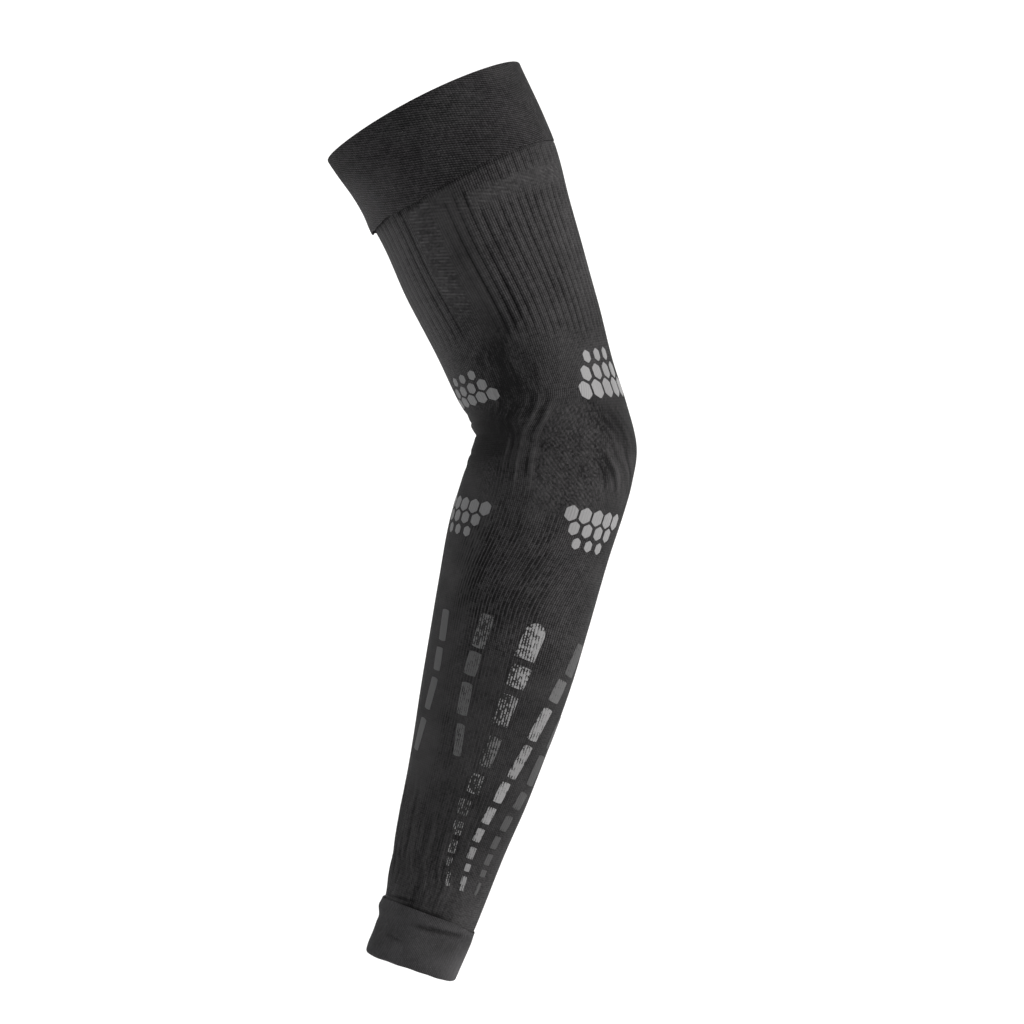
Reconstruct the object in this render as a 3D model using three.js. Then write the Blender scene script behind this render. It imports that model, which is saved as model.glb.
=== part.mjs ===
// Compression arm sleeve: a knitted tube with a doubled band at the upper arm and at the wrist, in the form it has
// on a bent arm. Millimetres, +Z up. The origin is the middle of the elbow, +X points out of the back of the elbow,
// and the arm bends in the XZ plane.
import * as THREE from "three";
import { mergeVertices } from "three/addons/utils/BufferGeometryUtils.js";

// Knit thicknesses
const wall = 1.4; // the sleeve's single knit
const bandProud = 1.2; // how far a band stands out of the sleeve
const bandEdge = 0.5; // rounding of a band's edges
const seamGap = 0.3; // clearance between a band and the sleeve under it

// Lengths down the middle of the sleeve
const upperBandHeight = 44.5;
const wristBandHeight = 27;
const lap = 7; // sleeve tucked under each band

// Ribs of the upper arm
const ribCount = 60;
const ribDepth = 0.6;
const ribStart = 56; // first full ribs, below the band
const ribEnd = 132; // last full ribs, above the elbow
const ribFade = 12; // length over which the ribs run out

// Smooth knit panels beside the front of the upper arm, in degrees round from the elbow side
const panelTurn = 126;
const panelHalf = 14;

// Facets
const segments = 2 * ribCount; // a crest and a groove for each rib
const bandSegments = ribCount;
const elbowReach = 33; // stretch on either side of the elbow that gets closer rings
const ringSteps = { upperArm: 3, elbow: 6, forearm: 6 };

// Sections from the top rim to the wrist rim. x and z place the middle, tilt raises the elbow side (degrees),
// across is the width in the plane of the bend, deep the width along Y, and bow how far the two sides arch up
// out of the section's plane.
const sections = [
  { x: -66, z: 163, tilt: 27, across: 105.5, deep: 97, bow: 2 },
  { x: -45, z: 124, tilt: 28.5, across: 99, deep: 93, bow: 3.5 },
  { x: -31.5, z: 87.5, tilt: 24, across: 92.5, deep: 88, bow: 3 },
  { x: -18.5, z: 53.5, tilt: 20.5, across: 85, deep: 84, bow: 2 },
  { x: -10, z: 28.5, tilt: 14.5, across: 80, deep: 82, bow: 1 },
  { x: -3.5, z: 12.5, tilt: 6, across: 79, deep: 82, bow: 0 },
  { x: 0.5, z: -2.5, tilt: -4, across: 81, deep: 83, bow: 0 },
  { x: -2.5, z: -17.5, tilt: -8, across: 83, deep: 84, bow: 0 },
  { x: -6, z: -29.5, tilt: -11, across: 83, deep: 84, bow: 0 },
  { x: -13, z: -51.5, tilt: -14, across: 82, deep: 83, bow: 0 },
  { x: -20.5, z: -83, tilt: -16.5, across: 79, deep: 81, bow: 0 },
  { x: -27.5, z: -112.5, tilt: -17.5, across: 75, deep: 77, bow: 0 },
  { x: -35, z: -142, tilt: -18, across: 69.5, deep: 71, bow: 0 },
  { x: -43, z: -171.5, tilt: -18.5, across: 63, deep: 65, bow: 0 },
  { x: -52, z: -200.5, tilt: -19, across: 56, deep: 59, bow: 0 },
  { x: -62, z: -236.5, tilt: -20, across: 48, deep: 53, bow: 1 },
  { x: -71.5, z: -263.5, tilt: -18.5, across: 44, deep: 50, bow: 1.5 },
];

// Creases, furrows and rolls. at is the distance from the top rim, turn the place round from the elbow side
// (degrees), long and wide how far each fades out (mm, degrees), and rise its height (a dent is negative).
const folds = [
  { at: 178, turn: 180, long: 5, wide: 45, rise: -1.2 }, // crease in the crook of the elbow
  { at: 195, turn: 205, long: 6, wide: 25, rise: 0.9 }, // rolls pushed up below the crook
  { at: 160, turn: 150, long: 6, wide: 25, rise: 0.8 },
  { at: 100, turn: 108, long: 45, wide: 4, rise: -0.7 }, // furrows beside the smooth panels
  { at: 100, turn: 252, long: 45, wide: 4, rise: -0.7 },
  { at: 22, turn: 180, long: 10, wide: 30, rise: -0.8 }, // waist of the upper band at the front
  { at: 428, turn: 50, long: 4, wide: 45, rise: 0.8 }, // roll at the top of the wrist band
  { at: 436, turn: 70, long: 2.5, wide: 35, rise: -0.6 },
];

// Distance of each section from the top rim, down the middle of the sleeve
const distances = [0];
for (let i = 1; i < sections.length; i++) {
  const step = Math.hypot(sections[i].x - sections[i - 1].x, sections[i].z - sections[i - 1].z);
  distances.push(distances[i - 1] + step);
}
const sleeveLength = distances.at(-1);
const elbowAt = distances[sections.findIndex((section) => section.z < 0)];

// Slope of a column at a section, from the sections on either side
function slopeAt(column, i) {
  const before = Math.max(i - 1, 0);
  const after = Math.min(i + 1, sections.length - 1);
  return (sections[after][column] - sections[before][column]) / (distances[after] - distances[before]);
}

// Smooth value of a column at a distance from the top rim
function valueAt(column, along) {
  const found = distances.findLastIndex((distance) => distance <= along);
  const i = THREE.MathUtils.clamp(found, 0, sections.length - 2);
  const span = distances[i + 1] - distances[i];
  const t = (along - distances[i]) / span;
  const fromStart = sections[i][column] * (1 + 2 * t) + slopeAt(column, i) * span * t;
  const fromEnd = sections[i + 1][column] * (3 - 2 * t) - slopeAt(column, i + 1) * span * (1 - t);
  return fromStart * (1 - t) ** 2 + fromEnd * t ** 2;
}

// Shortest way round from one place to another, in degrees
function turnBetween(a, b) {
  return Math.abs(((a - b + 540) % 360) - 180);
}

// Height that the folds add at a place on the sleeve
function foldRise(along, degrees) {
  return folds.reduce((sum, fold) => {
    const down = (along - fold.at) / fold.long;
    const round = turnBetween(degrees, fold.turn) / fold.wide;
    return sum + fold.rise * Math.exp(-down * down - round * round);
  }, 0);
}

// Depth of the rib grooves at a place on the sleeve
function ribGroove(along, degrees) {
  const { smoothstep, degToRad } = THREE.MathUtils;
  const length = smoothstep(along, ribStart - ribFade, ribStart) * (1 - smoothstep(along, ribEnd, ribEnd + ribFade));
  const fromPanel = Math.min(turnBetween(degrees, panelTurn), turnBetween(degrees, 360 - panelTurn));
  const ribbed = fromPanel > panelHalf ? 1 : 0;
  return ribDepth * length * ribbed * (1 - Math.cos(ribCount * degToRad(degrees))) / 2;
}

// Point at a distance from the top rim, a turn round from the elbow side and a lift off the sleeve's outside
function pointOnArm(along, degrees, lift) {
  const turn = THREE.MathUtils.degToRad(degrees);
  const tilt = THREE.MathUtils.degToRad(valueAt("tilt", along));
  const reach = Math.cos(turn) * (valueAt("across", along) / 2 + lift);
  const side = Math.sin(turn) * (valueAt("deep", along) / 2 + lift);
  const arch = Math.sin(turn) ** 2 * valueAt("bow", along);
  return new THREE.Vector3(
    valueAt("x", along) + reach * Math.cos(tilt) - arch * Math.sin(tilt),
    -side,
    valueAt("z", along) + reach * Math.sin(tilt) + arch * Math.cos(tilt),
  );
}

// A closed profile of { lift, along } points, turned as a straight tube and then bent onto the arm
function knitTube(profile, facets, grooved) {
  const straightRadius = 50;
  const outline = [...profile, profile[0]].map(
    ({ lift, along }) => new THREE.Vector2(straightRadius + lift, sleeveLength - along),
  );
  const turned = new THREE.LatheGeometry(outline, facets);
  turned.deleteAttribute("normal");
  turned.deleteAttribute("uv");
  const tube = mergeVertices(turned);
  const position = tube.getAttribute("position");
  const straight = new THREE.Vector3();
  for (let i = 0; i < position.count; i++) {
    straight.fromBufferAttribute(position, i);
    const degrees = (THREE.MathUtils.radToDeg(Math.atan2(straight.x, straight.z)) + 360) % 360;
    const along = sleeveLength - straight.y;
    const lift = Math.hypot(straight.x, straight.z) - straightRadius;
    const outside = grooved ? THREE.MathUtils.clamp(1 + lift / wall, 0, 1) : 0;
    const rise = foldRise(along, degrees) - outside * ribGroove(along, degrees);
    position.setXYZ(i, ...pointOnArm(along, degrees, lift + rise));
  }
  tube.computeVertexNormals();
  return tube;
}

// Distances from just past a start to an end, evenly spaced
function stepsTo(start, end, count) {
  return Array.from({ length: count }, (_, i) => start + ((end - start) * (i + 1)) / count);
}

// The sleeve's wall from seam to seam, with an end tucked under each band
function sleeveProfile(upper, lower) {
  const aboveElbow = elbowAt - elbowReach;
  const belowElbow = elbowAt + elbowReach;
  const rings = [
    upper - lap,
    upper,
    ribStart,
    ...stepsTo(ribStart, aboveElbow, ringSteps.upperArm),
    ...stepsTo(aboveElbow, belowElbow, ringSteps.elbow),
    ...stepsTo(belowElbow, lower, ringSteps.forearm),
    lower + lap,
  ];
  const outside = rings.map((along) => ({ lift: 0, along }));
  const inside = rings.toReversed().map((along) => ({ lift: -wall, along }));
  return [...outside, ...inside];
}

// A doubled band from its free rim to its seam: thick beyond the sleeve's end, and thin where it laps over it.
// The free rim is at the smaller distance for the upper band and at the larger one for the wrist band.
function bandProfile(rim, seam) {
  const down = Math.sign(seam - rim); // 1 if the band runs down the arm from its rim
  const sleeveEnd = seam - down * lap;
  const middle = (rim + sleeveEnd) / 2;
  const section = [
    { lift: bandProud - bandEdge, along: rim },
    { lift: bandEdge - wall, along: rim },
    { lift: -wall, along: rim + down * bandEdge },
    { lift: -wall, along: middle },
    { lift: -wall, along: sleeveEnd - down * seamGap },
    { lift: seamGap, along: sleeveEnd - down * seamGap },
    { lift: seamGap, along: seam },
    { lift: bandProud - bandEdge, along: seam },
    { lift: bandProud, along: seam - down * bandEdge },
    { lift: bandProud, along: middle },
    { lift: bandProud, along: rim + down * bandEdge },
  ];
  return down > 0 ? section.toReversed() : section;
}

function knit(colour) {
  return new THREE.MeshStandardMaterial({ color: colour, roughness: 0.92, metalness: 0 });
}

function piece(name, geometry, material) {
  const mesh = new THREE.Mesh(geometry, material);
  mesh.name = name;
  return mesh;
}

const bodyKnit = knit(0x2b2b2c);
const bandKnit = knit(0x262627);
const upperSeam = upperBandHeight;
const wristSeam = sleeveLength - wristBandHeight;

const armSleeve = new THREE.Group();
armSleeve.add(
  piece("upper_band", knitTube(bandProfile(0, upperSeam), bandSegments, false), bandKnit),
  piece("sleeve", knitTube(sleeveProfile(upperSeam, wristSeam), segments, true), bodyKnit),
  piece("wrist_band", knitTube(bandProfile(sleeveLength, wristSeam), bandSegments, false), bandKnit),
);

export default armSleeve;
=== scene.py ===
import bmesh
import bpy
import math
from functools import lru_cache
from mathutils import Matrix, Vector, noise


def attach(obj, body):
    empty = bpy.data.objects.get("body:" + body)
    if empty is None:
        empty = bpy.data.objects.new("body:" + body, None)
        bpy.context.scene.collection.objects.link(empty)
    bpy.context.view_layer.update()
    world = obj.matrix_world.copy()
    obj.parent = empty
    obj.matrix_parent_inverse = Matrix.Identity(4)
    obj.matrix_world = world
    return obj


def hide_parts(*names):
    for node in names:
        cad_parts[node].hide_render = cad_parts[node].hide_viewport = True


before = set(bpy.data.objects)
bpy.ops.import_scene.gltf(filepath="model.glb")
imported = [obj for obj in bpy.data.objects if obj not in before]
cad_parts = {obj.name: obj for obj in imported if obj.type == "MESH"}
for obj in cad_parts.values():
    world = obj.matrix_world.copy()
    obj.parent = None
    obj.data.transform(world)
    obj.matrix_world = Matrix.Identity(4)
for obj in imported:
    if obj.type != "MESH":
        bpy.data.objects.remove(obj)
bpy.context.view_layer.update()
mm = 0.001
print("frame loaded:", ", ".join(sorted(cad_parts)))


# The arm that fills the sleeve, in mm and degrees, a row for each section from the top rim to the wrist rim:
# x and z of its middle, tilt of its elbow side, width across, width deep, and the bow of its two sides.
arm = {
    "sections": (
        (-66, 163, 27, 105.5, 97, 2),
        (-45, 124, 28.5, 99, 93, 3.5),
        (-31.5, 87.5, 24, 92.5, 88, 3),
        (-18.5, 53.5, 20.5, 85, 84, 2),
        (-10, 28.5, 14.5, 80, 82, 1),
        (-3.5, 12.5, 6, 79, 82, 0),
        (0.5, -2.5, -4, 81, 83, 0),
        (-2.5, -17.5, -8, 83, 84, 0),
        (-6, -29.5, -11, 83, 84, 0),
        (-13, -51.5, -14, 82, 83, 0),
        (-20.5, -83, -16.5, 79, 81, 0),
        (-27.5, -112.5, -17.5, 75, 77, 0),
        (-35, -142, -18, 69.5, 71, 0),
        (-43, -171.5, -18.5, 63, 65, 0),
        (-52, -200.5, -19, 56, 59, 0),
        (-62, -236.5, -20, 48, 53, 1),
        (-71.5, -263.5, -18.5, 44, 50, 1.5),
    ),
    "wall": 1.4,  # the sleeve's knit
    "bandProud": 1.2,  # how far a band stands out of the sleeve
    "lapGap": 0.25,  # between a band and the sleeve under it
    "lap": 7,  # sleeve tucked under each band
    "upperBand": 44.5,  # heights of the bands
    "wristBand": 27,
}

stations = [0.0]  # distance of each section from the top rim
for upper, lower in zip(arm["sections"], arm["sections"][1:]):
    stations.append(stations[-1] + math.dist(upper[:2], lower[:2]))
sleeveLength = stations[-1]
upperSeam = arm["upperBand"]
wristSeam = sleeveLength - arm["wristBand"]


def slopesAt(i):
    before, after = max(i - 1, 0), min(i + 1, len(stations) - 1)
    span = stations[after] - stations[before]
    return [(b - a) / span for a, b in zip(arm["sections"][before], arm["sections"][after])]


@lru_cache(maxsize=None)
def sectionAt(along):
    i = max(j for j in range(len(stations) - 1) if stations[j] <= max(along, 0))
    span = stations[i + 1] - stations[i]
    t = (along - stations[i]) / span
    ends = zip(arm["sections"][i], slopesAt(i), arm["sections"][i + 1], slopesAt(i + 1))
    return [
        (1 - t) ** 2 * (a * (1 + 2 * t) + da * span * t) + t ** 2 * (b * (3 - 2 * t) - db * span * (1 - t))
        for a, da, b, db in ends
    ]


# turn goes round from the elbow side, over the side that faces -Y, to the crook at 180
def armPoint(along, turn, lift):
    x, z, tilt, across, deep, bow = sectionAt(along)
    angle, lean = math.radians(turn), math.radians(tilt)
    reach = math.cos(angle) * (across / 2 + lift)
    arch = math.sin(angle) ** 2 * bow
    return mm * Vector((
        x + reach * math.cos(lean) - arch * math.sin(lean),
        -math.sin(angle) * (deep / 2 + lift),
        z + reach * math.sin(lean) + arch * math.cos(lean),
    ))


def mmPerDegree(along):
    across, deep = sectionAt(along)[3:5]
    return math.pi * (across + deep) / 720


def ease(low, high, value):
    t = min(max((value - low) / (high - low), 0), 1)
    return t * t * (3 - 2 * t)


def hill(value, centre, spread):
    return math.exp(-((value - centre) / spread) ** 2)


def over(value, rising, falling):  # up along one stretch and down again along another
    return ease(*rising, value) * (1 - ease(*falling, value))


def plateau(value, first, last, soft):
    return over(value, (first - soft, first + soft), (last - soft, last + soft))


def between(first, last, t):
    return first + (last - first) * t


def turnApart(a, b):
    return (a - b + 540) % 360 - 180


def sideOf(turn):  # degrees from the elbow side, the same on both sides of the arm
    return abs(turnApart(turn, 0))


def spot(along, side, at, place, long, wide):  # a soft place on the arm: 1 in its middle
    return math.exp(-((along - at) / long) ** 2 - ((side - place) / wide) ** 2)


def ripple(x, y, z):  # smooth unevenness about zero, the same at every run
    return noise.noise(Vector((x, y, z)))


# The knit's wales draw together down the upper arm and fan out round the elbow patch
wales = {
    # where the fan opens or closes: start, end and degrees
    "fan": ((50, 135, -8), (152, 180, 25), (184, 212, -5), (222, 268, 15)),
    "count": 120,  # fine wales of the forearm
    "depth": 0.28,
    "start": (206, 230),
    "beside": (176, 196),  # they start higher beside the elbow patch, at these turns
    "besideTurns": ((94, 102), (122, 138)),
    "besideShare": 0.4,
    "turns": ((60, 82), (122, 145)),  # they are deep on the two sides of the arm
    "frontShare": 0.15,  # share of the depth that is left on its front and back
    "dashes": (266, 300),
    "dashShare": 0.35,  # share that is left among the dashes
    "wrist": (365, 405),
    "wristTurns": (60, 85),
    "wristShare": 0.2,  # share that is left on the elbow side above the wrist
}


def fanAt(along):
    return sum(degrees * ease(start, end, along) for start, end, degrees in wales["fan"])


def waleOf(along, turn):
    return turn - fanAt(along) * math.sin(math.radians(turn))


def turnOf(along, wale):
    fan = fanAt(along)
    turn = wale
    for _ in range(8):
        turn = wale + fan * math.sin(math.radians(turn))
    return turn


def waleAmount(along, turn, wale):
    side = sideOf(turn)
    beside = wales["besideShare"] * over(side, *wales["besideTurns"])
    wrist = ease(*wales["wrist"], along) * (1 - ease(*wales["wristTurns"], side))
    amount = max(ease(*wales["start"], along), beside * ease(*wales["beside"], along))
    amount *= between(1, wales["dashShare"], ease(*wales["dashes"], along))
    amount *= between(wales["frontShare"], 1, over(side, *wales["turns"]))
    amount *= between(1, wales["wristShare"], wrist)
    return amount * (0.9 + 0.8 * ripple(wale * 0.11, along * 0.05, 6.4))


def fineWales(along, turn, wale):
    line = (math.cos(math.radians(wale * wales["count"])) - 1) / 2
    return wales["depth"] * waleAmount(along, turn, wale) * line


# Ribs of the upper arm. odd gives the strength of the grooves that differ from the rest, by their turn.
ribs = {
    "count": 60,
    "depth": 0.65,
    "groove": 0.16,  # half width, as a share of a rib
    "odd": {87: 1.1, 93: 1.5, 99: 1.2, 105: 1.2, 111: 0.4, 117: 0, 123: 0, 129: 0, 135: 1.2},
    "end": 125,
    "slant": 12,  # they end this much lower on the elbow side, and higher on the crook side
    "fade": (6, 8),  # mm before and after its end that a groove runs out in
    "frontFrom": 112,  # from this turn on they are the front half's
    "front": (upperSeam - 4, upperSeam - 1),  # where the ribs of the front half start
    "back": (61, 67),  # and those of the back half
    "strip": ((44, 47), (53, 57)),  # short ribs of the back half, just under the band
    "stripTurns": (70, 90),
    "stripShare": 0.7,
    "long": (93, 99, 105),  # grooves that deepen on their way to the elbow
    "longStart": (48, 56),
    "longDeepens": (60, 118),
    "longDepths": (0.75, 1.15),
    "longFade": 10,
}


def ribGroove(along, wale):
    pitch = 360 / ribs["count"]
    line = (math.floor(wale / pitch) + 0.5) * pitch
    side = round(sideOf(line))
    strength = ribs["odd"].get(side, 1)
    end = ribs["end"] + ribs["slant"] * math.cos(math.radians(side))
    runOut = (end - ribs["fade"][0], end + ribs["fade"][1])
    if side in ribs["long"]:
        runOut = (end - ribs["longFade"], end + ribs["longFade"])
        length = over(along, ribs["longStart"], runOut)
        length *= between(*ribs["longDepths"], ease(*ribs["longDeepens"], along))
    elif side < ribs["frontFrom"]:
        strip = ribs["stripShare"] * over(along, *ribs["strip"]) * (1 - ease(*ribs["stripTurns"], side))
        length = max(strip, over(along, ribs["back"], runOut))
    else:
        length = over(along, ribs["front"], runOut)
    uneven = 0.85 + 0.45 * ripple(line * 0.37, along * 0.04, 1.7)
    return strength * length * uneven * hill((wale - line) / pitch, 0, ribs["groove"])


# Thick wales that pass between the elbow patch and the crook, and the painted shade of the valleys beside
# them:
# wale, start, end, share and width
cordWales = {
    "lines": (
        (88.2, 152, 210, 1, 2.1),
        (98.4, 152, 188, 0.8, 2),
        (99.6, 170, 216, 0.9, 1.2),
        (111, 170, 204, 0.75, 1.1),
    ),
    "valleys": (
        (92.4, 152, 212, 0.6, 1.3),
        (102.6, 150, 188, 0.7, 1.9),
        (102.2, 172, 216, 0.5, 1),
        (107.6, 168, 206, 0.5, 1.6),
    ),
    "rise": 0.55,
    "rising": 14,  # mm that they start in
    "falling": 18,  # and run out in
}


def cordWale(along, wale, lines="lines"):
    side = sideOf(wale)
    cord = 0
    for line, start, end, share, width in cordWales[lines]:
        length = over(along, (start, start + cordWales["rising"]), (end - cordWales["falling"], end))
        uneven = max(0.75 + 0.9 * ripple(along * 0.26, line, 2.9), 0)
        cord = max(cord, share * length * uneven * hill(side, line, width))
    return cord


# Folds: along, turn, reach along, reach round, rise and lean (mm along for each degree round)
folds = (
    (178, 180, 1.5, 42, -0.6, 0),  # crease in the crook of the elbow
    (171, 180, 5, 34, 0.95, 0.03),  # the rolls that it parts
    (185, 180, 6, 34, 0.3, -0.03),
    (166, 180, 1.3, 34, -0.45, 0.03),  # small creases above and below it
    (190, 180, 1.3, 32, -0.45, -0.03),
    (158, 178, 2.2, 26, -0.3, 0.06),
    (198, 182, 2.2, 26, -0.3, -0.05),
    (198, 150, 3, 16, -0.3, 0.2),
    (150, 103, 24, 9, -1.5, 0),  # hollow where the long grooves run out beside the elbow
    (150, 257, 24, 9, -1.5, 0),
    (186, 79, 24, 4, -0.6, 0.1),  # furrow along the edge of the elbow patch
    (186, 281, 24, 4, -0.6, -0.1),
    (22, 180, 11, 30, -0.8, 0),  # waist of the upper band at the crook side
    (419, 132, 1.1, 24, -0.7, 0.05),  # small fold above the wrist band
    (427.2, 180, 2.6, 34, 1, 0),  # roll at the crook side of the wrist band
    (432.5, 180, 2, 40, -0.4, 0),
    (448, 180, 7, 40, 1.1, 0),  # its rim spreads at the crook side
    (405, 74, 3, 8, -0.4, 0.35),  # small twist above the wrist
    (409, 66, 2.5, 10, 0.35, 0.3),
    (412, 60, 1.5, 10, -0.35, 0.3),
)


# How far a place is from a fold's middle, along and round, as shares of the fold's reach
def fromFold(along, turn, at, place, long, wide, lean):
    aside = turnApart(turn, place)
    return (along - at - lean * aside) / long, aside / wide


def foldRise(along, turn):
    rise = 0
    for at, place, long, wide, height, lean in folds:
        down, aside = fromFold(along, turn, at, place, long, wide, lean)
        if abs(down) < 3 and abs(aside) < 3:  # it is flat beyond
            rise += height * math.exp(-down ** 2 - aside ** 2)
    return rise


# Slack knit: a slow unevenness all over, and wrinkles that run along the arm in a few places.
# Each wrinkled place: start, full, fade and end along, first and last turn, rise, shade, how closely the
# wrinkles follow each other round the arm and along it, and their lean (degrees round for each mm along).
slack = {
    "rise": 0.25,
    "round": 1.6,  # how closely the slow unevenness changes, round the arm and along it
    "along": 0.03,
    "edge": 18,  # degrees that a wrinkled place fades out in
    "drift": 10,  # degrees that a wrinkle strays from its way
    "wrinkles": (
        (345, 390, 411, 425, 62, 200, 1, 0.5, 0.24, 0.045, 0),  # above the wrist band
        (112, 130, 166, 186, 78, 140, 0.4, 0.7, 0.42, 0.08, -0.4),  # bunched above the elbow
        (160, 172, 196, 208, 6, 66, 0.4, 1.1, 0.3, 0.05, 1.1),  # on the tip of the elbow
    ),
}


def wrinkleAt(along, turn):
    side = sideOf(turn)
    rise = shade = 0
    for start, full, fade, end, first, last, height, dark, closeRound, closeAlong, lean in slack["wrinkles"]:
        amount = over(along, (start, full), (fade, end))
        amount *= over(side, (first, first + slack["edge"]), (last - slack["edge"], last))
        if amount > 0:
            drift = lean * along + slack["drift"] * ripple(along * 0.08, 4.1, first)
            fold = amount * ripple((turn + drift) * closeRound, along * closeAlong, 7.3)
            rise += height * fold
            # painted shade in the wrinkles' hollows and painted light on their crests
            shade -= dark * fold
    return rise, shade


def slackRise(along, turn):
    angle, size = math.radians(turn), slack["round"]
    slow = ripple(size * math.cos(angle), size * math.sin(angle), along * slack["along"])
    return slack["rise"] * slow + wrinkleAt(along, turn)[0]


# The sleeve meets the upper band level on the elbow side, and the band's edge is raised on the crook side
bandMeet = {
    "rise": 1.05,
    "length": ((44.1, 45.4), (45.4, 72)),  # where the sleeve swells, and thins again
    "stepped": (30, 75),  # turns over which the band comes to stand out
    "raised": 2.7,
    "raisedTurns": (118, 150),
}


def raisedEdge(turn):
    return bandMeet["raised"] * ease(*bandMeet["raisedTurns"], sideOf(turn))


def stepAt(turn):  # 0 where the band is level with the sleeve, 1 where it stands out
    return ease(*bandMeet["stepped"], sideOf(turn))


def meetRise(along, turn):
    return bandMeet["rise"] * over(along, *bandMeet["length"]) * (1 - stepAt(turn))


def sleeveRise(along, turn, wale):
    rise = foldRise(along, turn) + slackRise(along, turn) + meetRise(along, turn)
    rise += cordWales["rise"] * cordWale(along, wale) - ribs["depth"] * ribGroove(along, wale)
    return rise + fineWales(along, turn, wale)


# Places of the knit's kinds, from 0 to 1, for the finish
zones = {
    # knit with slanted strokes: first and last turn, start and end along, mm that it fades out in, and amount
    "hatched": (
        (114, 130, 46, 118, 22, 1),
        (8, 100, 55, 65, 5, 0.7),
        (100, 114, 48, 60, 6, 0.6),
    ),
    "hatchEdge": (2, 1.5),  # mm along at its start, and degrees round, that it fades in
    "patch": (161, 214, 5),  # netted elbow patch: start, end and softness along
    "patchEdge": (84, 87),  # wales that it ends between
    "tip": (40, 62),  # turns over which it fades on the tip of the elbow, to this share
    "tipShare": 0.1,
    "mesh": (  # small netted places: along, turn, reach along, reach round and amount
        (203, 133, 12, 9, 0.7),
        (136, 102, 16, 13, 0.4),
        (158, 117, 12, 15, 0.4),
    ),
    "calm": (  # knit whose stitches hardly show: start, end, first and last turn and amount
        (200, 365, 124, 190, 1),
        (156, 196, 112, 190, 1),
        (46, 128, 96, 114, 0.8),
        (288, 392, -20, 125, 0.6),
        (152, 222, -20, 62, 0.9),
    ),
    "calmFade": (6, 5),  # mm along and degrees round that it fades in
}

# Painted shade and painted light on the sleeve's knit, the same on both sides of the arm: shade in the crook,
# in the hollows beside the elbow, on the elbow and down the forearm, light on the rolls and on the upper
# arm's back and front: along, turn, reach along, reach round and amount
paintedShadeAndLight = (
    (120, 101, 12, 12, 0.3),  # painted shade in the hollow beside the elbow, where the knit bunches
    (136, 102, 14, 17, 0.45),
    (152, 112, 11, 15, 0.5),
    (166, 126, 11, 15, 0.3),
    (148, 122, 32, 34, 0.42),
    (86, 104, 26, 13, 0.22),
    (124, 122, 15, 14, 0.3),
    (49, 82, 6, 24, 0.35),  # shadow under the upper band
    (180, 145, 20, 30, 0.75),
    (184, 180, 34, 22, 0.5),
    (178, 180, 1.5, 46, 0.15),  # shadow line of the crease
    (171, 180, 8, 20, -0.6),  # painted light on the roll above it
    (192, 140, 12, 14, 0.25),
    (166, 52, 10, 16, 0.25),
    (292, 90, 26, 38, 0.22),
    (195, 10, 46, 60, 0.5),
    (172, 25, 16, 40, 0.25),
    (335, 45, 72, 45, 0.55),  # painted shade between the dashes, on the side that the light falls on
    (285, 150, 80, 36, 0.3),
    (390, 85, 40, 34, 0.25),
    (385, 140, 32, 28, 0.25),
    (88, 25, 44, 45, -0.2),  # painted light on the back of the upper arm
    (80, 177, 56, 32, -1.8),  # and painted light on its front, at the crook side
    (414, 35, 16, 45, -0.3),  # smooth above the wrist band, with painted light on it
)


# Painted shade in the rib grooves and the valleys beside the cords, painted highlight on the cords, and
# painted shadow lines where knit meets knit
shading = {
    "ribs": 0.8,
    "cords": -0.8,
    "valleys": 1,
    "upperSeam": (0.8, 1.4),  # mm below the upper band's edge, and width
    "upperTurns": (20, 70),
    "wristSeam": (1.4, 1.3),  # mm above the wrist band, and width
    "wristTurns": ((55, 85), (118, 135)),
    "wristShare": 0.7,
    "thinFold": (419, 132, 0.8, 22, 0.05),  # above the wrist band: along, turn, reaches and lean
}


# Painted shadow under the upper band's edge and above the wrist band, and a painted shade line along the thin
# fold above the wrist band
def seamShade(along, turn):
    side = sideOf(turn)
    below, width = shading["upperSeam"]
    uneven = 0.6 + 0.9 * ripple(turn * 0.09, 0.6, 3.1)
    upper = uneven * ease(*shading["upperTurns"], side)
    upper *= hill(along, upperSeam - raisedEdge(turn) + below, width)
    above, width = shading["wristSeam"]
    wrist = shading["wristShare"] * over(side, *shading["wristTurns"])
    wrist *= hill(along, wristSeam - above, width)
    down, aside = fromFold(along, side, *shading["thinFold"])
    return upper + wrist + math.exp(-down ** 2 - aside ** 2)


# Painted shade (above zero) and painted light (below zero) for the sleeve's colour
def shadeAt(along, turn, wale):
    side = sideOf(turn)
    shade = shading["ribs"] * ribGroove(along, wale) + shading["cords"] * cordWale(along, wale)
    shade += shading["valleys"] * cordWale(along, wale, "valleys")
    # painted shade and painted light from the table above
    for at, place, long, wide, amount in paintedShadeAndLight:
        shade += amount * spot(along, side, at, place, long, wide)
    return shade + seamShade(along, turn) + wrinkleAt(along, turn)[1]


def zonesAt(along, turn, wale):
    side = sideOf(turn)
    hatch = 0
    edgeAlong, edgeRound = zones["hatchEdge"]
    for first, last, start, end, fade, amount in zones["hatched"]:
        length = over(along, (start - edgeAlong, start + edgeAlong), (end - fade, end))
        hatch = max(hatch, amount * length * plateau(side, first, last, edgeRound))
    patch = plateau(along, *zones["patch"]) * (1 - ease(*zones["patchEdge"], sideOf(wale)))
    patch *= between(zones["tipShare"], 1, ease(*zones["tip"], side))
    for middle, place, long, wide, amount in zones["mesh"]:
        patch = max(patch, amount * spot(along, side, middle, place, long, wide))
    calm = cordWale(along, wale)
    fadeAlong, fadeRound = zones["calmFade"]
    for start, end, first, last, amount in zones["calm"]:
        amount *= plateau(along, start, end, fadeAlong) * plateau(side, first, last, fadeRound)
        calm = max(calm, amount)
    return {
        "shade": shadeAt(along, turn, wale),
        "hatch": hatch,
        "patch": patch,
        "waled": waleAmount(along, turn, wale),
        "calm": calm * (1 - patch),
    }


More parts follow.
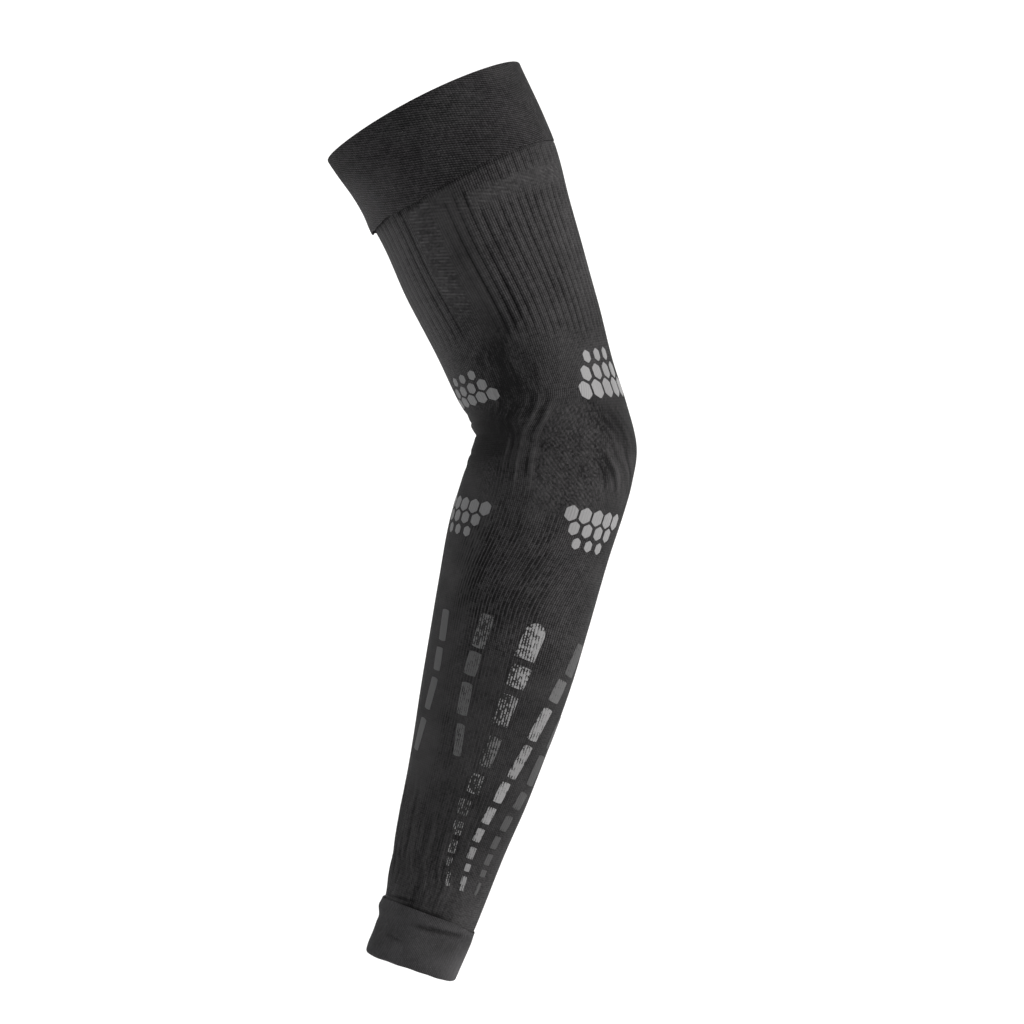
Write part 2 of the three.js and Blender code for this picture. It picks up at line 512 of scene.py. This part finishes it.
# A knitted wall as a grid rolled up both ways: round the arm, and round the wall's own closed section
def knitTube(name, section, around, shape, zonesOf):
    bm = bmesh.new()
    knitMap = bm.loops.layers.uv.new("knit")
    layers = {zone: bm.verts.layers.float.new(zone) for zone in ("shade", "hatch", "patch", "waled", "calm")}
    bmesh.ops.create_grid(bm, x_segments=around, y_segments=len(section), size=0.5)
    flat = {}
    for v in bm.verts:
        wale = 360 * round((v.co.x + 0.5) * around) / around
        along, depth = section[round((v.co.y + 0.5) * len(section)) % len(section)]
        along, turn, v.co = shape(along, wale, depth)
        flat[v] = (wale / 360, along / sleeveLength)
        if depth <= 0:
            for zone, amount in zonesOf(along, turn, wale).items():
                v[layers[zone]] = amount
    for face in bm.faces:
        face.smooth = True
        for loop in face.loops:
            loop[knitMap].uv = flat[loop.vert]
    bmesh.ops.remove_doubles(bm, verts=bm.verts, dist=0.001 * mm)
    bmesh.ops.recalc_face_normals(bm, faces=bm.faces)
    return finishedPiece(name, bm)


def finishedPiece(name, bm):
    mesh = bpy.data.meshes.new(name)
    bm.to_mesh(mesh)
    bm.free()
    piece = bpy.data.objects.new(name, mesh)
    bpy.context.scene.collection.objects.link(piece)
    print(name, "has", sum(len(face.vertices) - 2 for face in mesh.polygons), "triangles")
    return piece


def evenly(start, end, steps):
    return [start + (end - start) * i / steps for i in range(steps + 1)]


def rowsThrough(start, stretches):
    rows = [start]
    for end, steps in stretches:
        rows += evenly(rows[-1], end, steps)[1:]
    return rows


sleeve = {
    "around": 480,
    # rows up to each place along, closest at the seams and in the crook
    "rows": ((44, 3), (64, 14), (150, 29), (160, 5), (198, 39), (230, 13), (390, 37), (412, 9), (424, 24)),
    "innerRows": ((340, 5), (205, 3), (152, 10), (110, 6)),
    "endRows": 3,
    "flat": (0.25, 0.40),
    "flatArea": 0.078,
}


def sleeveShape(along, wale, depth):
    turn = turnOf(along, wale)
    if depth == 0:
        lift = sleeveRise(along, turn, wale)
    else:
        lift = foldRise(along, turn) + slackRise(along, turn) - depth
    return along, turn, armPoint(along, turn, lift)


def makeSleeve():
    top, bottom = upperSeam - arm["lap"], wristSeam + arm["lap"]
    outer = [(along, 0) for along in rowsThrough(top, (*sleeve["rows"], (bottom, sleeve["endRows"])))]
    inner = rowsThrough(bottom, (*sleeve["innerRows"], (top, sleeve["endRows"])))
    inner = [(along, arm["wall"]) for along in inner]
    piece = knitTube("knit_sleeve", outer + inner, sleeve["around"], sleeveShape, zonesAt)
    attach(piece, "root")
    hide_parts("sleeve")
    return piece


# Rows round an edge from one depth to another, without the first and the last
def roundEdge(edge, inwards, first, last, steps):
    radius = abs(last - first) / 2
    rows = []
    for step in range(1, steps):
        angle = math.pi * step / steps
        along = edge + inwards * radius * (1 - math.sin(angle))
        rows.append((along, between(first, last, (1 - math.cos(angle)) / 2)))
    return rows


# A band's closed section as (along, depth) rows, from its seam edge over the rim and back inside
def bandSection(rim, seam, outerRows, innerRows):
    down = math.copysign(1, seam - rim)
    proud, wall, gap = arm["bandProud"], arm["wall"], arm["lapGap"]
    turnOver = (proud + wall) / 2  # radius of the rim
    edge = (proud - gap) / 2  # radius of the seam edge
    sleeveEnd = seam - down * (arm["lap"] + gap)
    rows = [(along, -proud) for along in evenly(seam - down * edge, rim + down * turnOver, outerRows)]
    rows += roundEdge(rim, down, -proud, wall, 8)
    rows += [(along, wall) for along in evenly(rim + down * turnOver, sleeveEnd, innerRows)]
    rows += [(along, -gap) for along in evenly(sleeveEnd, seam - down * edge, 4)]
    return rows + roundEdge(seam, -down, -gap, -proud, 4)


upperBand = {
    "around": 360,
    "outerRows": 34,
    "innerRows": 14,
    "pucker": 0.3,  # of its seam edge, and mm up from the edge that it reaches
    "puckerReach": 9,
    "wander": 0.9,  # how far the edge strays along the arm, less where it is level with the sleeve
    "wanderReach": 5,
    "wanderLevel": 0.2,
    "flare": 1.1,  # how far the edge stands off at the crook side
    "flareReach": 7,
    "flareTurns": (125, 165),
    "raisedFrom": 18,  # mm from the rim where it starts to follow its raised edge
    "dark": (94, 36, 0.3),  # painted shade down the band's middle: turn, reach round and amount, all the way down
    "seamDark": (38, 78, 10, 18),  # painted shade near the seam: along, turn, reach along and reach round
    "seamDarkShare": 0.3,
    "light": (176, 32, -1.8),  # painted light on the band's front, the same way
    "lightFrom": (4, 34),
    "flat": (0.27, 0.046),
}


def upperBandShape(along, turn, depth):
    pucker = upperBand["pucker"] * hill(along, upperSeam, upperBand["puckerReach"])
    pucker *= ripple(turn * 0.14, 2.2, along * 0.03)
    flare = upperBand["flare"] * hill(along, upperSeam, upperBand["flareReach"])
    flare *= ease(*upperBand["flareTurns"], sideOf(turn))
    wander = upperBand["wander"] * between(upperBand["wanderLevel"], 1, stepAt(turn))
    along += wander * hill(along, upperSeam, upperBand["wanderReach"]) * ripple(turn * 0.1, 5.2, 0)
    if depth < 0:
        along -= raisedEdge(turn) * ease(upperBand["raisedFrom"], upperSeam, along)
    lift = foldRise(along, turn) + slackRise(along, turn) - depth
    return along, turn, armPoint(along, turn, lift + (pucker + flare if depth < 0 else 0))


# Painted shade down the band's middle and near its seam, and painted light on its front
def upperBandZones(along, turn, wale):
    side = sideOf(turn)
    place, wide, amount = upperBand["dark"]
    shade = amount * hill(side, place, wide)
    shade += upperBand["seamDarkShare"] * spot(along, side, *upperBand["seamDark"])
    place, wide, amount = upperBand["light"]
    return {"shade": shade + amount * hill(side, place, wide) * ease(*upperBand["lightFrom"], along)}


def makeUpperBand():
    section = bandSection(0, upperSeam, upperBand["outerRows"], upperBand["innerRows"])
    piece = knitTube("knit_upper_band", section, upperBand["around"], upperBandShape, upperBandZones)
    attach(piece, "root")
    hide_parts("upper_band")
    return piece


wristBand = {
    "around": 320,
    "outerRows": 44,
    "innerRows": 14,
    "edgeSlide": (1.4, -1.2),  # its top edge is lower at the elbow side, higher round the arm
    "edgeTurns": (10, 70),
    "crookSlide": 1.2,  # and a little lower again at the crook side
    "crookTurns": (130, 175),
    "slideReach": 14,  # mm from the edge
    "rimLow": 1.2,  # its rim hangs this much lower, and waves by this much
    "rimWave": 0.35,
    "rimFrom": 434,
    "flush": 0.4,  # share of its step that is left at the elbow side
    "flushTurns": (48, 88),
    "flushReach": 4,
    "creaseShade": -0.3,  # painted shade in the creases and painted light on the rolls
    "dark": (430, 150, 12, 30),  # painted shade at the crook side: along, turn, reach along and reach round
    "darkShare": 0.2,
    "light": (446, 12, 14, 34),  # painted light on the elbow side
    "lightShare": -0.8,
    "flat": (0.13, 0.028),
}

# Creases of the wrist band, with the same columns as the folds
wristFolds = (
    (424.8, 55, 2.2, 45, 0.8, 0.03),  # roll along the top edge
    (428, 74, 1.1, 32, -1.7, 0.04),  # crease under the roll
    (438.5, 122, 0.8, 12, -0.7, -0.03),  # short crease
    (444, 60, 5, 30, 0.25, 0),
    (425.5, 300, 2.5, 35, 0.6, -0.02),
    (430.5, 300, 1.4, 30, -0.6, -0.02),
)


def creaseRise(along, turn):
    rise = 0
    for at, place, long, wide, height, lean in wristFolds:
        down, aside = fromFold(along, turn, at, place, long, wide, lean)
        rise += height * math.exp(-down ** 2 - aside ** 4)
    return rise


def wristBandShape(along, turn, depth):
    side = sideOf(turn)
    slide = between(*wristBand["edgeSlide"], ease(*wristBand["edgeTurns"], side))
    slide += wristBand["crookSlide"] * ease(*wristBand["crookTurns"], side)
    placed = along + slide * (1 - ease(wristSeam, wristSeam + wristBand["slideReach"], along))
    hang = wristBand["rimLow"] + wristBand["rimWave"] * ripple(turn * 0.05, 8.8, 0)
    placed += hang * ease(wristBand["rimFrom"], sleeveLength, along)
    level = (1 - ease(*wristBand["flushTurns"], side)) * hill(along, wristSeam, wristBand["flushReach"])
    if depth < -arm["lapGap"]:
        depth = between(-arm["lapGap"], depth, between(1, wristBand["flush"], level))
    lift = foldRise(placed, turn) + slackRise(placed, turn) - depth
    if depth < 0:
        lift += creaseRise(placed, turn)
    return placed, turn, armPoint(placed, turn, lift)


# Painted shade in the creases and at the crook side, painted light on the rolls and on the elbow side
def wristBandZones(along, turn, wale):
    at, place, long, wide = wristBand["light"]
    shade = wristBand["creaseShade"] * creaseRise(along, turn)
    shade += wristBand["darkShare"] * spot(along, sideOf(turn), *wristBand["dark"])
    return {"shade": shade + wristBand["lightShare"] * spot(along, turnApart(turn, place), at, 0, long, wide)}


def makeWristBand():
    section = bandSection(sleeveLength, wristSeam, wristBand["outerRows"], wristBand["innerRows"])
    piece = knitTube("knit_wrist_band", section, wristBand["around"], wristBandShape, wristBandZones)
    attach(piece, "root")
    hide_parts("wrist_band")
    return piece


# A flat piece of film, in mm across and down, laid on the knit at a place
film = {"thick": 0.16, "sunk": 0.05, "cell": 0.65, "cells": 4}  # cells is the fewest each way


def filmLayers(bm):
    knitMap = bm.loops.layers.uv.new("knit")
    return knitMap, bm.verts.layers.float.new("highlightAndGloss"), bm.verts.layers.float.new("worn")


# wear has three parts: all over, more on the crook side, and less at the rim
def layFilm(bm, layers, width, length, outline, placeOf, highlightAndGloss, wear):
    knitMap, sheen, worn = layers
    across, downwards = (max(film["cells"], round(size / film["cell"])) for size in (width, length))
    grid = bmesh.ops.create_grid(bm, x_segments=across, y_segments=downwards, size=1)
    faces = list({face for v in grid["verts"] for face in v.link_faces})
    slab = bmesh.ops.extrude_face_region(bm, geom=faces, use_keep_orig=True)
    top = [v for v in slab["geom"] if isinstance(v, bmesh.types.BMVert)]
    bmesh.ops.translate(bm, verts=top, vec=(0, 0, 1))
    flat = {}
    for v in [*grid["verts"], *top]:
        a, b = outline(v.co.x, v.co.y)
        along, turn = placeOf(a * width / 2, -b * length / 2)
        wale = waleOf(along, turn)
        lift = sleeveRise(along, turn, wale) + (film["thick"] if v.co.z > 0.5 else -film["sunk"])
        flat[v] = (wale / 360 % 1, along / sleeveLength)
        v.co = armPoint(along, turn, lift)
        v[sheen] = highlightAndGloss
        v[worn] = wear[0] + wear[1] * a - wear[2] * max(abs(a), abs(b)) ** 3
    for face in {face for v in flat for face in v.link_faces}:
        for loop in face.loops:
            loop[knitMap].uv = flat[loop.vert]


def roundedBar(x, y):  # a square with its corners pulled in
    pull = 0.06 * (x * y) ** 2
    return x * (1 - pull), y * (1 - pull)


def roundTop(x, y):  # the top third narrows as half an ellipse, and stays open a little at its end
    shoulder = 0.34
    cap = max(y - shoulder, 0) / (1 - shoulder)
    return x * math.sqrt(max(1 - cap * cap, 0.02)), y


# Rows of dashes down the forearm, mirrored on the far side. Each row: extra wear on the crook side, wear
# spared (or added, if negative) at the rims, and its dashes: start and end along, turn at the start and at
# the end, width, gloss (which also lightens the colour: a painted highlight where the light falls) and wear.
dashes = {
    "rows": (
        (0, 0, (
            (274.3, 290, 146, 144, 6.2, 0.49, -0.4),
            (293.3, 305, 145, 144.5, 6, 0.49, -0.4),
            (308.5, 325, 144.5, 148.5, 5.8, 0.49, -0.4),
            (329.7, 346.5, 150.5, 157, 6, 0.49, -0.4),
        )),
        (0, 0.2, (
            (270.2, 287.6, 106.7, 109.6, 7, 0.62, 0.66),
            (289.7, 301.8, 109.9, 111.5, 7, 0.5, 0.4),
            (305.4, 321.7, 111.4, 110.4, 6, 0.52, 0.42),
            (325.8, 341.7, 109, 106.4, 4.4, 0.53, 0.45),
        )),
        (0.2, 0, (
            (267.5, 286, 68.7, 73.2, 11.1, 1, 0.48),
            (289.6, 300.8, 72.6, 75.3, 10.4, 1, 0.6),
            (304.8, 321, 75.8, 78.7, 9, 0.9, 0.74),
            (326.7, 342.4, 78.3, 81.1, 6.9, 0.62, 0.6),
        )),
        (0, 0.14, (
            (346.9, 356.8, 83.1, 84, 6.8, 0.88, 0.84),
            (360.5, 368.8, 88.2, 87.4, 6, 0.65, 0.84),
            (371.8, 378.7, 87.7, 86.6, 4.8, 0.8, 0.82),
            (381.4, 388.2, 86.8, 85.9, 4.1, 0.8, 0.82),
            (390.2, 394.7, 86.2, 85.2, 3.3, 0.75, 0.84),
            (397.6, 404.6, 83.2, 80.5, 2.2, 0.9, 0.68),
        )),
        (0.1, -0.2, (
            (271.9, 288.5, 17, 24.5, 11, 0.47, 0.1),
            (291, 302.6, 30.2, 35.3, 9.5, 0.6, 0.1),
            (306.1, 323.6, 37.6, 45.6, 7.6, 0.91, 0.27),
            (326.3, 344.2, 45.7, 53.8, 6.3, 0.89, 0.28),
            (346.7, 357.6, 56.2, 59.1, 5.5, 1, 0.15),
            (360.5, 369.2, 60.7, 63, 4.9, 0.98, 0.2),
            (372, 379.1, 63.8, 65.4, 4.3, 0.95, 0.2),
            (382, 388.2, 64.8, 65.9, 3.7, 0.88, 0.2),
            (390.7, 394.7, 64.5, 64.8, 3.1, 0.9, 0.15),
            (397.2, 404.9, 64.6, 63.5, 3, 0.9, 0.28),
        )),
        (0, -0.35, (
            (309, 326, 6, 13, 8, 0.4, -0.2),
            (329.7, 345.7, 19.8, 24.3, 9.5, 0.4, -0.2),
            (349.5, 358.5, 28, 33, 8, 0.41, 0),
            (362.4, 370.6, 36.5, 38.9, 6.2, 0.41, 0),
            (373.7, 380.4, 40.5, 42.2, 4.9, 0.42, 0),
            (383.2, 389.1, 41.5, 42.7, 4.4, 0.42, 0),
            (391.6, 395.3, 42.2, 42.6, 4.2, 0.45, 0),
            (398.3, 405.2, 42, 42.9, 2.4, 0.45, 0),
        )),
    ),
    "capped": 2,  # the row whose first dash has a round top
}


def makeDashes():
    bm = bmesh.new()
    layers = filmLayers(bm)
    for row, (oneSided, spared, places) in enumerate(dashes["rows"]):
        for side in (1, -1):
            for i, (start, end, turnStart, turnEnd, width, highlightAndGloss, worn) in enumerate(places):
                middle, length = (start + end) / 2, end - start
                lean = (turnEnd - turnStart) * mmPerDegree(middle) / length

                def placeOf(a, d):
                    turn = between(turnStart, turnEnd, 0.5 + d / length) + a / mmPerDegree(middle)
                    return middle + d - 0.5 * lean * a, side * turn % 360

                outline = roundTop if row == dashes["capped"] and i == 0 else roundedBar
                layFilm(bm, layers, width, length, outline, placeOf, highlightAndGloss, (worn, oneSided, spared))
    bmesh.ops.recalc_face_normals(bm, faces=bm.faces)
    piece = finishedPiece("forearm_dashes", bm)
    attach(piece, "root")
    return piece


# Honeycomb grip patches above and below the elbow: along, turn, the way they thin out and gloss, which also
# lightens their colour as a painted highlight, most on the patches that face the light
honeycomb = {
    "cell": 6.6,  # across flats
    "gap": 1.3,
    "patches": ((150, 36, -1, 1), (219, 46, 1, 1), (143, 147, -1, 0.75), (226, 150, 1, 0.75)),
    "wear": (-0.1, 0, 0),
    "columns": 5,
    "rows": 3,
    "shrink": 0.14,  # of the cells, from row to row
}


def hexagon(x, y):  # a square grid pulled into a hexagon with points up and down
    return x * min(1, 2.12 - 2 * abs(y)), y


def makeHoneycomb():
    bm = bmesh.new()
    layers = filmLayers(bm)
    cell, gap = honeycomb["cell"], honeycomb["gap"]
    for at, turn, away, highlightAndGloss in honeycomb["patches"]:
        for side in (1, -1):
            for row in range(honeycomb["rows"]):
                for column in range(honeycomb["columns"] - row):
                    middle = (column - (honeycomb["columns"] - 1 - row) / 2) * (cell + gap)
                    down = away * (row - 1) * (cell + gap) * math.sqrt(3) / 2
                    width = cell * (1 - honeycomb["shrink"] * row)
                    length = width * 2 / math.sqrt(3)

                    def placeOf(a, d):
                        return at + down + d, side * (turn + (middle + a) / mmPerDegree(at)) % 360

                    layFilm(bm, layers, width, length, hexagon, placeOf, highlightAndGloss, honeycomb["wear"])
    bmesh.ops.recalc_face_normals(bm, faces=bm.faces)
    piece = finishedPiece("elbow_honeycomb", bm)
    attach(piece, "root")
    return piece


# Shader maths: a Wire is a socket that takes part in Python expressions
class Wire:
    def __init__(self, finish, socket):
        self.finish = finish
        self.socket = socket

    def maths(self, operation, *values):
        return self.finish.add("ShaderNodeMath", {"operation": operation}, dict(enumerate(values)))

    def __add__(self, other):
        return self.maths("ADD", self, other)

    def __radd__(self, other):
        return self.maths("ADD", other, self)

    def __sub__(self, other):
        return self.maths("SUBTRACT", self, other)

    def __rsub__(self, other):
        return self.maths("SUBTRACT", other, self)

    def __mul__(self, other):
        return self.maths("MULTIPLY", self, other)

    def __rmul__(self, other):
        return self.maths("MULTIPLY", other, self)

    def __abs__(self):
        return self.maths("ABSOLUTE", self)

    def __mod__(self, other):
        return self.maths("FLOORED_MODULO", self, other)

    def floor(self):
        return self.maths("FLOOR", self)

    def wave(self):  # from 0 to 1, once for each whole number
        return self.maths("SINE", self * math.tau) * 0.5 + 0.5

    def within(self):
        return self.finish.add("ShaderNodeClamp", {}, {"Value": self})


class Finish:
    def __init__(self, name):
        self.material = bpy.data.materials.new(name)
        self.material.use_nodes = True
        self.nodes = self.material.node_tree.nodes
        self.links = self.material.node_tree.links
        self.shader = self.nodes["Principled BSDF"]

    def add(self, kind, settings, sockets, output=0):
        node = self.nodes.new(kind)
        for name, value in settings.items():
            setattr(node, name, value)
        for name, value in sockets.items():
            self.feed(node.inputs[name], value)
        return Wire(self, node.outputs[output])

    def feed(self, socket, value):
        if isinstance(value, Wire):
            self.links.new(value.socket, socket)
        else:
            socket.default_value = value

    def surface(self, **sockets):
        for name, value in sockets.items():
            self.feed(self.shader.inputs[name.replace("_", " ")], value)

    def knitMap(self):
        uv = self.add("ShaderNodeUVMap", {"uv_map": "knit"}, {})
        split = self.add("ShaderNodeSeparateXYZ", {}, {0: uv})
        return split, Wire(self, split.socket.node.outputs[1])

    def zone(self, name):
        return self.add("ShaderNodeAttribute", {"attribute_name": name}, {}, 2)

    def speckle(self, x, y):
        cell = self.add("ShaderNodeCombineXYZ", {}, {0: x, 1: y})
        return self.add("ShaderNodeTexWhiteNoise", {"noise_dimensions": "2D"}, {"Vector": cell})

    def cloud(self, scale, detail):
        place = self.add("ShaderNodeTexCoord", {}, {}, 3)
        return self.add("ShaderNodeTexNoise", {}, {"Vector": place, "Scale": scale, "Detail": detail})

    def mottle(self):  # slow unevenness of the yarn, about zero
        return 0.5 * self.cloud(70, 3) - 0.25

    def blend(self, factor, first, second):
        return self.add("ShaderNodeMix", {"data_type": "RGBA"}, {0: factor, 6: first, 7: second}, 2)

    def bump(self, height, distance, strength):
        sockets = {"Height": height, "Distance": distance, "Strength": strength}
        return self.add("ShaderNodeBump", {}, sockets)


# Sizes of the stitches and the two ends of each knit's colour
knitLook = {
    "needles": 240,  # stitches round
    "courses": 420,  # stitches from rim to rim
    "bandNeedles": 220,
    "bandCourses": 360,
    "dark": (0.003, 0.003, 0.0032, 1),
    "light": (0.037, 0.036, 0.037, 1),
    # light end of each band, the contrast of its stitches and their relief in mm
    "upperBand": ((0.0315, 0.0305, 0.0315, 1), 0.7, 1.1),
    "wristBand": ((0.048, 0.047, 0.049, 1), 0.3, 0.5),
    "relief": 0.5,  # mm
    "plainMean": 0.52,  # of a plain stitch's height
    "hush": 0.7,  # how much of the stitches a calm place takes away
    "specular": 0.08,
}


def sleeveFinish():
    look = Finish("body knit")
    u, v = look.knitMap()
    wale, course = u * knitLook["needles"], v * knitLook["courses"]
    across = abs(wale % 1 - 0.5)  # 0 in the middle of a stitch, 0.5 at its sides
    column = 1 - across * across * 4
    plain = column * (0.55 + 0.45 * (course + across).wave())
    slanted = course * 0.57 + wale * 0.32
    strokes = 0.3 + 0.7 * slanted.wave() * look.speckle((wale * 0.4).floor(), slanted.floor())
    twill = ((wale + course) * 0.44 + 1.2 * look.cloud(190, 2)).wave()
    net = 0.24 + (0.26 + 0.46 * twill) * look.speckle((wale * 1.7).floor(), (course * 1.4).floor())
    hatch, patch = look.zone("hatch"), look.zone("patch")
    loud = 1 - knitLook["hush"] * look.zone("calm")
    plain = knitLook["plainMean"] + (plain - knitLook["plainMean"]) * loud
    height = plain * (1 - hatch) * (1 - patch) + strokes * hatch + net * patch
    speckle = 0.5 + (look.speckle(wale.floor(), course.floor()) - 0.5) * loud
    line = 1 - (u * wales["count"]).wave()  # painted shade in the grooves between the fine wales
    line = line * line
    broken = 0.4 + 1.2 * look.speckle((u * wales["count"]).floor(), (course * 0.45).floor())
    line = look.zone("waled") * line * line * broken
    # the shade zone is painted shade (above zero) and painted light (below zero)
    tone = 0.7 * height + 0.3 * speckle + look.mottle() - 0.5 * look.zone("shade") - 0.6 * line
    tone = tone.within()
    look.surface(
        Base_Color=look.blend(tone, knitLook["dark"], knitLook["light"]),
        Roughness=0.95 - 0.2 * height,
        Normal=look.bump(height, knitLook["relief"] * mm, 0.6),
        Specular_IOR_Level=knitLook["specular"],
    )
    return look.material


def bandFinish(name, light, contrast, relief):
    look = Finish(name)
    u, v = look.knitMap()
    wale, course = u * knitLook["bandNeedles"], v * knitLook["bandCourses"]
    across = wale % 1
    strokes = (course + wale.floor() * 0.5 + across * 0.6).wave()  # stitch legs that all lean one way
    height = strokes * (1 - abs(across - 0.5) * 1.2)
    speckle = look.speckle(wale.floor(), course.floor())
    # the shade zone is painted shade (above zero) and painted light (below zero)
    tone = 0.42 + contrast * (height + 0.45 * speckle - 0.55) + look.mottle() - 0.5 * look.zone("shade")
    tone = tone.within()
    look.surface(
        Base_Color=look.blend(tone, knitLook["dark"], light),
        Roughness=0.95 - 0.2 * height,
        Normal=look.bump(height, relief * mm, 0.6),
        Specular_IOR_Level=knitLook["specular"],
    )
    return look.material


# Ends of the print's colour: grey is reached only where the painted highlight is full
filmLook = {
    "bare": (0.006, 0.006, 0.0062, 1),
    "grey": (0.125, 0.125, 0.127, 1),
    "columns": 0.75,  # of the knit's needles
    "rows": 0.8,  # and of its courses
    "relief": 0.25,  # mm
    "specular": 0.2,
}


def filmFinish():
    look = Finish("print film")
    u, v = look.knitMap()
    wale = u * (knitLook["needles"] * filmLook["columns"])
    course = v * (knitLook["courses"] * filmLook["rows"])
    stitch = (wale + 0.25).floor()
    column = wale.wave()
    dots = (course + stitch * 0.5).wave()
    cover = 0.45 * column + 0.2 * dots + 0.5 * look.speckle(stitch, course.floor())
    highlightAndGloss = look.zone("highlightAndGloss")
    tone = (5 * (cover - look.zone("worn")) + 0.5).within()  # the knit shows through where the film is worn
    # gloss lightens the colour as well as smoothing it: a painted highlight on the dashes and patches that
    # face the light
    shown = tone * highlightAndGloss * highlightAndGloss
    look.surface(
        Base_Color=look.blend(shown, filmLook["bare"], filmLook["grey"]),
        Roughness=0.85 - 0.5 * shown,
        Normal=look.bump(column * 0.6 + tone, filmLook["relief"] * mm, 0.5),
        Specular_IOR_Level=filmLook["specular"],
    )
    return look.material


def coat(piece, material):
    piece.data.materials.append(material)


# White sweep under and behind the sleeve
stage = {"floor": -0.5, "front": -4, "bend": 2.6, "radius": 1, "steps": 16, "top": 4, "half": 6}


def makeStage():
    bm = bmesh.new()
    start = bm.verts.new((-stage["half"], stage["front"], stage["floor"]))
    foot = bm.verts.new((-stage["half"], stage["bend"], stage["floor"]))
    bm.edges.new((start, foot))
    centre = (0, stage["bend"], stage["floor"] + stage["radius"])
    swept = bmesh.ops.spin(
        bm, geom=[foot], cent=centre, axis=(1, 0, 0), dvec=(0, 0, 0),
        angle=math.pi / 2, steps=stage["steps"], use_merge=False,
    )
    last = [v for v in swept["geom_last"] if isinstance(v, bmesh.types.BMVert)][0]
    wallTop = bm.verts.new((-stage["half"], last.co.y, stage["top"]))
    bm.edges.new((last, wallTop))
    bmesh.ops.remove_doubles(bm, verts=bm.verts, dist=0.0001)
    side = bmesh.ops.extrude_edge_only(bm, edges=list(bm.edges))
    moved = [v for v in side["geom"] if isinstance(v, bmesh.types.BMVert)]
    bmesh.ops.translate(bm, verts=moved, vec=(2 * stage["half"], 0, 0))
    bmesh.ops.recalc_face_normals(bm, faces=bm.faces)
    for face in bm.faces:
        face.smooth = True
    sweep = finishedPiece("studio_sweep", bm)
    paper = Finish("white paper")
    paper.surface(Base_Color=(0.97, 0.97, 0.97, 1), Roughness=1.0, Specular_IOR_Level=0.0)
    coat(sweep, paper.material)


# Lights: place, width, height, power and colour, all aimed at the elbow
lights = {
    "tall softbox": ((1.85, -0.65, 0.5), 0.7, 2, 64, (1, 0.97, 0.95)),
    "low bounce": ((-1.5, -0.3, -0.44), 0.8, 0.8, 12, (1, 1, 1)),
}
sky = {"colour": (1, 1, 1, 1), "strength": 1.05}


def makeLights():
    for name, (place, width, height, power, colour) in lights.items():
        lamp = bpy.data.lights.new(name, "AREA")
        lamp.shape = "RECTANGLE"
        lamp.size = width
        lamp.size_y = height
        lamp.energy = power
        lamp.color = colour
        holder = bpy.data.objects.new(name, lamp)
        holder.location = place
        holder.rotation_euler = (-Vector(place)).to_track_quat("-Z", "Y").to_euler()
        bpy.context.scene.collection.objects.link(holder)
    world = bpy.data.worlds.new("studio")
    world.use_nodes = True
    backdrop = world.node_tree.nodes["Background"].inputs
    backdrop["Color"].default_value = sky["colour"]
    backdrop["Strength"].default_value = sky["strength"]
    bpy.context.scene.world = world


# Camera square on to the bend, in metres: the frame is as wide as the photograph's at the arm
camera = {"aim": (-0.0215, 0, -0.0375), "away": 1.8, "wide": 0.512, "sensor": 36}


def makeCamera():
    lens = bpy.data.cameras.new("camera")
    lens.sensor_width = camera["sensor"]
    lens.lens = camera["sensor"] * camera["away"] / camera["wide"]
    holder = bpy.data.objects.new("camera", lens)
    holder.location = Vector(camera["aim"]) - Vector((0, camera["away"], 0))
    holder.rotation_euler = (math.pi / 2, 0, 0)
    bpy.context.scene.collection.objects.link(holder)
    bpy.context.scene.camera = holder
    bpy.context.scene.view_settings.view_transform = "Standard"


makeCamera()
makeLights()
makeStage()
print("camera, lights and stage are set")

coat(makeSleeve(), sleeveFinish())
coat(makeUpperBand(), bandFinish("upper band knit", *knitLook["upperBand"]))
coat(makeWristBand(), bandFinish("wrist band knit", *knitLook["wristBand"]))
print("knitted pieces are made")

printFilm = filmFinish()
coat(makeDashes(), printFilm)
coat(makeHoneycomb(), printFilm)
print("prints are laid")
